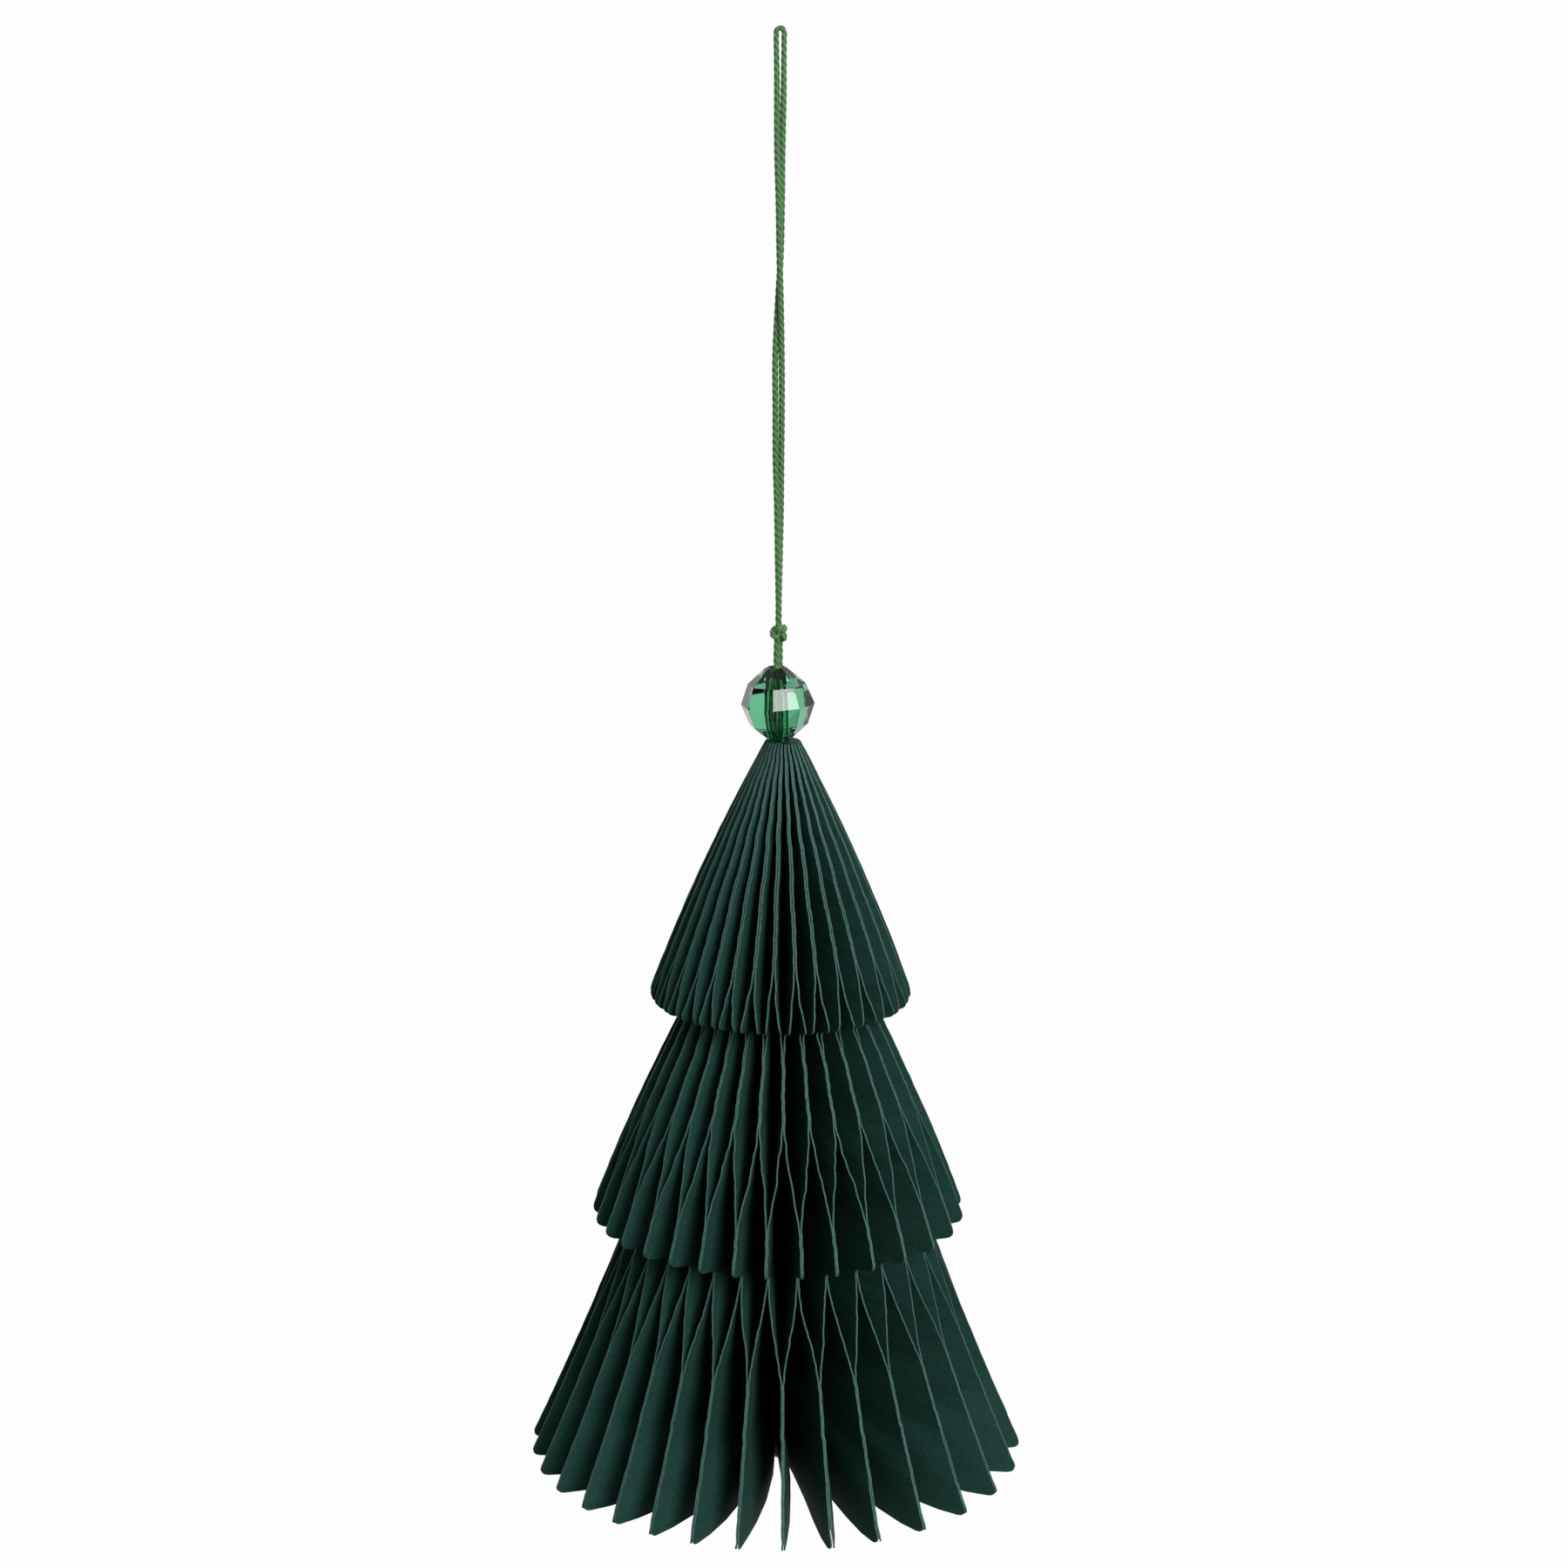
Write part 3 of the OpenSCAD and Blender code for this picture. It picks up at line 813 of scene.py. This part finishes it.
@dataclass
class TwistedCord:
    """One length of twisted cotton cord: the loop, the neck, the knots and the hidden tail."""

    stack: Stack
    plies: int = 3
    lay_length: float = 3.4
    # The cord is a little plumper where it hangs free: from this far under the hook, over this length
    plump_d: float = 1.04
    plump_from: float = 3.0
    plump_over: float = 8.0
    groove_share: float = 0.1
    sides: int = 18
    ring_every: float = 0.22
    knot_ring_every: float = 0.12
    tail_rings: int = 400
    # The knot over the bead: its width, how plump its cord is, and how far under it the strands bend to it
    knot_w: float = 2.9
    knot_swell: float = 1.12
    neck_bend: float = 0.8
    # The stop knot, and the share of its height that the strands reach down into it
    end_knot_d: float = 3.2
    end_knot_h: float = 2.6
    end_knot_hold: float = 0.4
    sharp_deg: float = 60.0

    # The loop's route from the knot up over the hook and down again, as in the part's source
    ROUTE = (
        (0.6, 0.5, -92.5), (0.6, 0.5, -90), (0.7, 0.5, -82), (0.8, 0.4, -74), (0.8, 0.2, -66),
        (0.8, 0, -58), (0.7, -0.1, -50), (0.5, -0.4, -42), (0.2, -0.5, -34), (0, -0.5, -26),
        (-0.3, -0.3, -18), (-0.4, -0.1, -10), (-0.5, 0, -5), (-0.6, 0, -1.5),
        (-0.6, 0, -0.2), (-0.4, 0, 0.3), (0, 0, 0.45), (0.4, 0, 0.3), (0.6, 0, -0.2),
        (0.6, 0, -1.5), (0.6, 0, -5), (0.6, 0.1, -10), (0.5, 0.3, -18), (0.5, 0.4, -26),
        (0.4, 0.5, -34), (0, 0.5, -42), (-0.3, 0.1, -50), (-0.2, 0, -58), (-0.1, -0.2, -66),
        (0.2, -0.4, -74), (0.4, -0.5, -82), (0.6, -0.5, -90), (0.6, -0.5, -92.5),
    )

    @staticmethod
    def smooth_line(route: np.ndarray, every: float, closed: bool = False) -> np.ndarray:
        """Catmull-Rom curve through the points, then points at even distances along it.

        Args:
            route: The points it passes through.
            every: Distance from one point to the next, in millimetres.
            closed: Whether the last point joins the first.

        Returns:
            The even points.
        """
        if closed:
            padded = np.concatenate([route[-1:], route, route[:2]])
        else:
            padded = np.concatenate([route[:1], route, route[-1:]])
        p, q, r, s = (padded[n : len(padded) - 3 + n, None] for n in range(4))
        t = np.linspace(0, 1, 24, endpoint=False)[None, :, None]
        cubic = 2 * q + (r - p) * t + (2 * p - 5 * q + 4 * r - s) * t**2 + (3 * q - p - 3 * r + s) * t**3
        dense = np.concatenate([0.5 * cubic.reshape(-1, 3), route[:1] if closed else route[-1:]])
        run = np.concatenate([[0], np.cumsum(np.linalg.norm(np.diff(dense, axis=0), axis=1))])
        count = max(8, round(run[-1] / every))
        even = np.linspace(0, run[-1], count + 1)
        line = np.stack([np.interp(even, run, dense[:, n]) for n in range(3)], axis=-1)
        return line[:-1] if closed else line

    def tube(
        self, line: np.ndarray, diameter: float | np.ndarray, closed: bool = False
    ) -> tuple[np.ndarray, list, np.ndarray]:
        """Twisted tube round a line: a lobed section that turns evenly along it.

        The radius is the half diameter, less a share that grows as one minus the cosine of plies
        times the angle from a ply's crown. Each ring stands square to the line, on sideways axes
        that are carried along it with no twist of their own.

        Args:
            line: The centreline.
            diameter: Diameter over the plies, one for all or one for each point.
            closed: Whether the line closes on itself.

        Returns:
            Points, faces and a coordinate pair for each face corner.
        """
        count, sides = len(line), self.sides
        ahead = np.roll(line, -1, axis=0) - np.roll(line, 1, axis=0)
        if not closed:
            ahead[0], ahead[-1] = line[1] - line[0], line[-1] - line[-2]
        ahead /= np.linalg.norm(ahead, axis=1)[:, None]
        # The first sideways axis is any one square to the heading. Each next one is the last one with
        # its part along the new heading taken out.
        across = np.empty_like(ahead)
        first = np.cross(ahead[0], [0.31, 0.9, 0.2])
        across[0] = first / np.linalg.norm(first)
        for n in range(1, count):
            axis = across[n - 1] - np.dot(across[n - 1], ahead[n]) * ahead[n]
            across[n] = axis / np.linalg.norm(axis)
        third = np.cross(ahead, across)
        run = np.concatenate([[0], np.cumsum(np.linalg.norm(np.diff(line, axis=0), axis=1))])
        turn = -2 * np.pi * run / self.lay_length
        angle = np.arange(sides) * 2 * np.pi / sides
        ply = self.plies * angle
        radius = np.broadcast_to(diameter, count)[:, None] / 2 * (1 - self.groove_share * (1 - np.cos(ply)))
        spun = angle[None, :] + turn[:, None]
        ring = radius[:, :, None] * (
            np.cos(spun)[..., None] * across[:, None] + np.sin(spun)[..., None] * third[:, None]
        )
        points = (line[:, None] + ring).reshape(-1, 3)
        rows = np.arange(count if closed else count - 1)[:, None]
        cols = np.arange(sides)[None, :]
        next_row, next_col = (rows + 1) % count, (cols + 1) % sides
        a, b = rows * sides + cols, rows * sides + next_col
        c, d = next_row * sides + next_col, next_row * sides + cols
        faces = np.stack([a, b, c, d], axis=-1).reshape(-1, 4)
        u = np.broadcast_to(cols / sides, a.shape)
        v = np.broadcast_to(run[rows], a.shape)
        w = np.broadcast_to(np.append(run, run[-1] + self.ring_every)[rows + 1], a.shape)
        uv = np.stack([[u, v], [u + 1 / sides, v], [u + 1 / sides, w], [u, w]], axis=-1)
        uv = np.moveaxis(uv, [0, 3], [3, 2]).reshape(-1, 2)
        faces = faces.tolist()
        if not closed:
            faces.append(list(range(sides))[::-1])
            faces.append(list(range((count - 1) * sides, count * sides)))
            ends = np.stack([np.arange(sides) / sides, np.full(sides, run[0])], axis=-1)
            uv = np.concatenate([uv, ends[::-1], ends + [0, run[-1]]])
        return points, faces, uv

    def strand_xy(self, side: int) -> tuple[float, float]:
        """Place of one strand below the knot, side 1 or -1."""
        turn = math.radians(self.stack.tail_turn_deg)
        half = side * self.stack.strand_pitch / 2
        return self.stack.cord_x + half * math.cos(turn), half * math.sin(turn)

    def knot(
        self, width: float, height: float, centre: tuple[float, float, float], cord_d: float
    ) -> tuple[np.ndarray, list, np.ndarray]:
        """Overhand knot drawn tight: a trefoil with one lobe to the left and two to the right.

        Upwards its line is sin t + 2 sin 2t, sideways cos t - 2 cos 2t, and in depth -sin 3t.

        Args:
            width: Width over the cord, in millimetres.
            height: Height over the cord.
            centre: The knot's middle.
            cord_d: Diameter of the cord in it.

        Returns:
            The arrays of the knot's tube.
        """
        t = np.linspace(0, 2 * np.pi, 120, endpoint=False)
        over, up = np.cos(t) - 2 * np.cos(2 * t), np.sin(t) + 2 * np.sin(2 * t)
        x = over / np.ptp(over) * (width - cord_d)
        z = up / np.ptp(up) * (height - cord_d)
        y = -np.sin(3 * t) * (width - cord_d) / 2
        middle = (x.max() + x.min()) / 2
        line = np.stack([centre[0] + x - middle, centre[1] + y, centre[2] + z], axis=-1)
        return self.tube(self.smooth_line(line, self.knot_ring_every, True), cord_d, True)

    def piece(self, name: str, made: tuple[np.ndarray, list, np.ndarray], finish: list) -> bpy.types.Object:
        """Makes one piece of cord from a tube's arrays."""
        points, faces, uv = made
        return mesh_piece(name, points, faces, finish, None, uv, self.sharp_deg)

    def build(self) -> list[bpy.types.Object]:
        """Returns:
            The four pieces.
        """
        s = self.stack
        finish = [CottonCord(plies=self.plies).build()]
        middle = (s.cord_x, 0.0, s.knot_top_z - s.knot_h / 2)
        drawn = self.knot(self.knot_w, s.knot_h, middle, self.knot_swell * s.strand_d)
        knot = self.piece("cord_knot_overhand", drawn, finish)
        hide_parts("cord_knot")
        mouth_z = s.bead_z + s.bead_h / 2 * math.cos(s.bead_tilt)
        up, down = self.strand_xy(1), self.strand_xy(-1)
        bend_z = s.knot_foot_z - self.neck_bend
        route = [(*up, mouth_z), (*up, bend_z), *self.ROUTE, (*down, bend_z), (*down, mouth_z)]
        line = self.smooth_line(np.array(route, dtype=float), self.ring_every)
        hanging = np.clip((-self.plump_from - line[:, 2]) / self.plump_over, 0, 1)
        diameter = s.strand_d + (self.plump_d - s.strand_d) * hanging
        loop = self.piece("cord_loop_twisted", self.tube(line, diameter), finish)
        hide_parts("cord_loop")
        length = float(np.linalg.norm(np.diff(line, axis=0), axis=1).sum()) * MM
        LOG.info("cord loop is %.1f mm from bead to bead", length / MM)
        foot = s.foot_z - self.end_knot_h * self.end_knot_hold
        heights = np.linspace(mouth_z, foot, self.tail_rings)
        strands = []
        for x, y in (up, down):
            line = np.stack([np.full_like(heights, x), np.full_like(heights, y), heights], axis=-1)
            strands.append(self.tube(line, s.strand_d))
        (first, first_faces, first_uv), (second, second_faces, second_uv) = strands
        faces = first_faces + [[n + len(first) for n in face] for face in second_faces]
        both = (np.concatenate([first, second]), faces, np.concatenate([first_uv, second_uv]))
        tail = self.piece("cord_tail_twisted", both, finish)
        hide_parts("cord_tail")
        low = (s.cord_x, 0.0, s.foot_z - self.end_knot_h / 2)
        drawn = self.knot(self.end_knot_d, self.end_knot_h, low, s.strand_d)
        stop = self.piece("cord_stop_knot", drawn, finish)
        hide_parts("cord_end_knot")
        return [loop, knot, tail, stop]


# The studio


@dataclass
class Studio:
    """Camera, lights and floor. The camera's numbers come from the photograph's perspective."""

    stack: Stack
    lens_mm: float = 83.37
    camera_right: float = 0.23
    camera_away: float = 566.25
    camera_over_foot: float = 260.5
    pitch: float = 0.2518
    roll: float = 0.0101
    floor_under_foot: float = 900.0
    floor_half_m: float = 30.0
    # Brightness of the room and of the wall behind, where the background that is seen is 1
    room: float = 0.16
    wall: float = 1.0
    # What shows through the bead: the wall's middle, and a window in front that the dark surrounds
    pane: float = 0.95
    window: float = 1.4
    dark: float = 0.02
    # Where each fades in, by how far a ray heads back: 1 is straight back, -1 straight to the front
    wall_fade: tuple[float, float] = (-0.2, 0.6)
    pane_fade: tuple[float, float] = (0.6, 0.92)
    window_fade: tuple[float, float] = (-0.86, -0.94)

    def place_camera(self) -> None:
        """Puts the camera in front of the tree, pitched down and rolled a little."""
        data = bpy.data.cameras.new("photo_camera")
        data.lens, data.sensor_width = self.lens_mm, 36.0
        data.sensor_fit = "HORIZONTAL"
        data.dof.use_dof = False
        data.clip_start, data.clip_end = 0.01, 50.0
        camera = bpy.data.objects.new("photo_camera", data)
        bpy.context.scene.collection.objects.link(camera)
        spot = (
            (self.stack.tree_x + self.camera_right) * MM,
            -self.camera_away * MM,
            (self.stack.foot_z + self.camera_over_foot) * MM,
        )
        turn = Matrix.Rotation(math.pi / 2 - self.pitch, 4, "X") @ Matrix.Rotation(self.roll, 4, "Z")
        camera.matrix_world = Matrix.Translation(spot) @ turn
        bpy.context.scene.camera = camera

    def area_light(
        self,
        name: str,
        azimuth: float,
        elevation: float,
        away: float,
        size: tuple[float, float],
        watts: float,
        is_mirrored: bool = True,
    ) -> None:
        """Adds a softbox that faces the ornament's middle.

        Args:
            name: The light's name.
            azimuth: Degrees from the front towards +X.
            elevation: Degrees above the horizon.
            away: Distance from the ornament's middle, in metres.
            size: Width and height, in metres.
            watts: Power.
            is_mirrored: Whether the bead's facets mirror it.
        """
        data = bpy.data.lights.new(name, "AREA")
        data.shape = "RECTANGLE"
        data.size, data.size_y = size
        data.energy = watts
        light = bpy.data.objects.new(name, data)
        light.visible_transmission = False
        light.visible_glossy = is_mirrored
        bpy.context.scene.collection.objects.link(light)
        a, e = math.radians(azimuth), math.radians(elevation)
        middle = np.array([self.stack.tree_x, 0, (self.stack.foot_z + self.stack.tip_z) / 2]) * MM
        back = np.array([math.sin(a) * math.cos(e), -math.cos(a) * math.cos(e), math.sin(e)])
        spin = Matrix.Rotation(a, 4, "Z") @ Matrix.Rotation(math.pi / 2 - e, 4, "X")
        light.matrix_world = Matrix.Translation(tuple(middle + away * back)) @ spin

    @staticmethod
    def fade(
        tree: bpy.types.NodeTree,
        value: bpy.types.NodeSocket,
        edges: tuple[float, float],
        levels: tuple[float, float],
    ) -> bpy.types.NodeSocket:
        """Adds a node that fades from one level to the other between two edges of a value."""
        ends = {"From Min": edges[0], "From Max": edges[1], "To Min": levels[0], "To Max": levels[1]}
        return add_node(tree, "MapRange", {"Value": value, **ends}).outputs[0]

    def build(self) -> None:
        """Makes the lights, the white surroundings and the floor."""
        world = bpy.data.worlds.new("white_room")
        world.use_nodes = True
        tree = world.node_tree
        # White to the eye, but a dim room with a white wall behind to every ray that lights
        towards = add_node(tree, "SeparateXYZ", {"Vector": add_node(tree, "TexCoord").outputs["Generated"]})
        back_y = towards.outputs["Y"]
        wall = self.fade(tree, back_y, self.wall_fade, (self.room, self.wall))
        # Through the bead only the middle of the wall behind it and a window in front show
        window = self.fade(tree, back_y, self.window_fade, (self.dark, self.window))
        middle = self.fade(tree, back_y, self.pane_fade, (0.0, self.pane))
        pane = add_node(tree, "Math", {0: middle, 1: window}, operation="ADD").outputs[0]
        path = add_node(tree, "LightPath").outputs
        lit = add_node(tree, "Mix", {"Factor": path["Is Transmission Ray"], "A": wall, "B": pane})
        seen = {"Factor": path["Is Camera Ray"], "A": lit.outputs["Result"], "B": linear(PaleSweep.white)[0]}
        strength = add_node(tree, "Mix", seen)
        back = tree.nodes["Background"]
        back.inputs["Color"].default_value = (1, 1, 1, 1)
        tree.links.new(strength.outputs["Result"], back.inputs["Strength"])
        bpy.context.scene.world = world
        bpy.context.scene.view_settings.view_transform = "Standard"
        self.area_light("key_softbox", azimuth=29, elevation=26, away=1.1, size=(0.55, 0.7), watts=14)
        self.area_light(
            "top_softbox", azimuth=0, elevation=75, away=1.2, size=(0.8, 0.8), watts=4, is_mirrored=False
        )
        z = (self.stack.foot_z - self.floor_under_foot) * MM
        plan = self.floor_half_m * np.array([[-1, -1], [1, -1], [1, 1], [-1, 1]])
        floor_mesh = bpy.data.meshes.new("studio_floor")
        floor_mesh.from_pydata(np.column_stack([plan, np.full(4, z)]).tolist(), [], [[0, 1, 2, 3]])
        floor_mesh.materials.append(PaleSweep().build())
        floor = bpy.data.objects.new("studio_floor", floor_mesh)
        bpy.context.scene.collection.objects.link(floor)
        floor.visible_diffuse = floor.visible_glossy = floor.visible_transmission = False


def main() -> None:
    """Builds the camera, the cord, the bead, the leaves and the studio, and logs each piece."""
    logging.basicConfig(level=logging.INFO, format="%(name)s: %(message)s")
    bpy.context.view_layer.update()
    stack = Stack()
    studio = Studio(stack)
    studio.place_camera()
    made = TwistedCord(stack).build()
    made.append(FacetedBead(stack).build())
    made += LeafPack(stack).build()
    studio.build()
    for piece in made:
        LOG.info("%s: %d points, %d faces", piece.name, len(piece.data.vertices), len(piece.data.polygons))


if __name__ == "__main__":
    main()
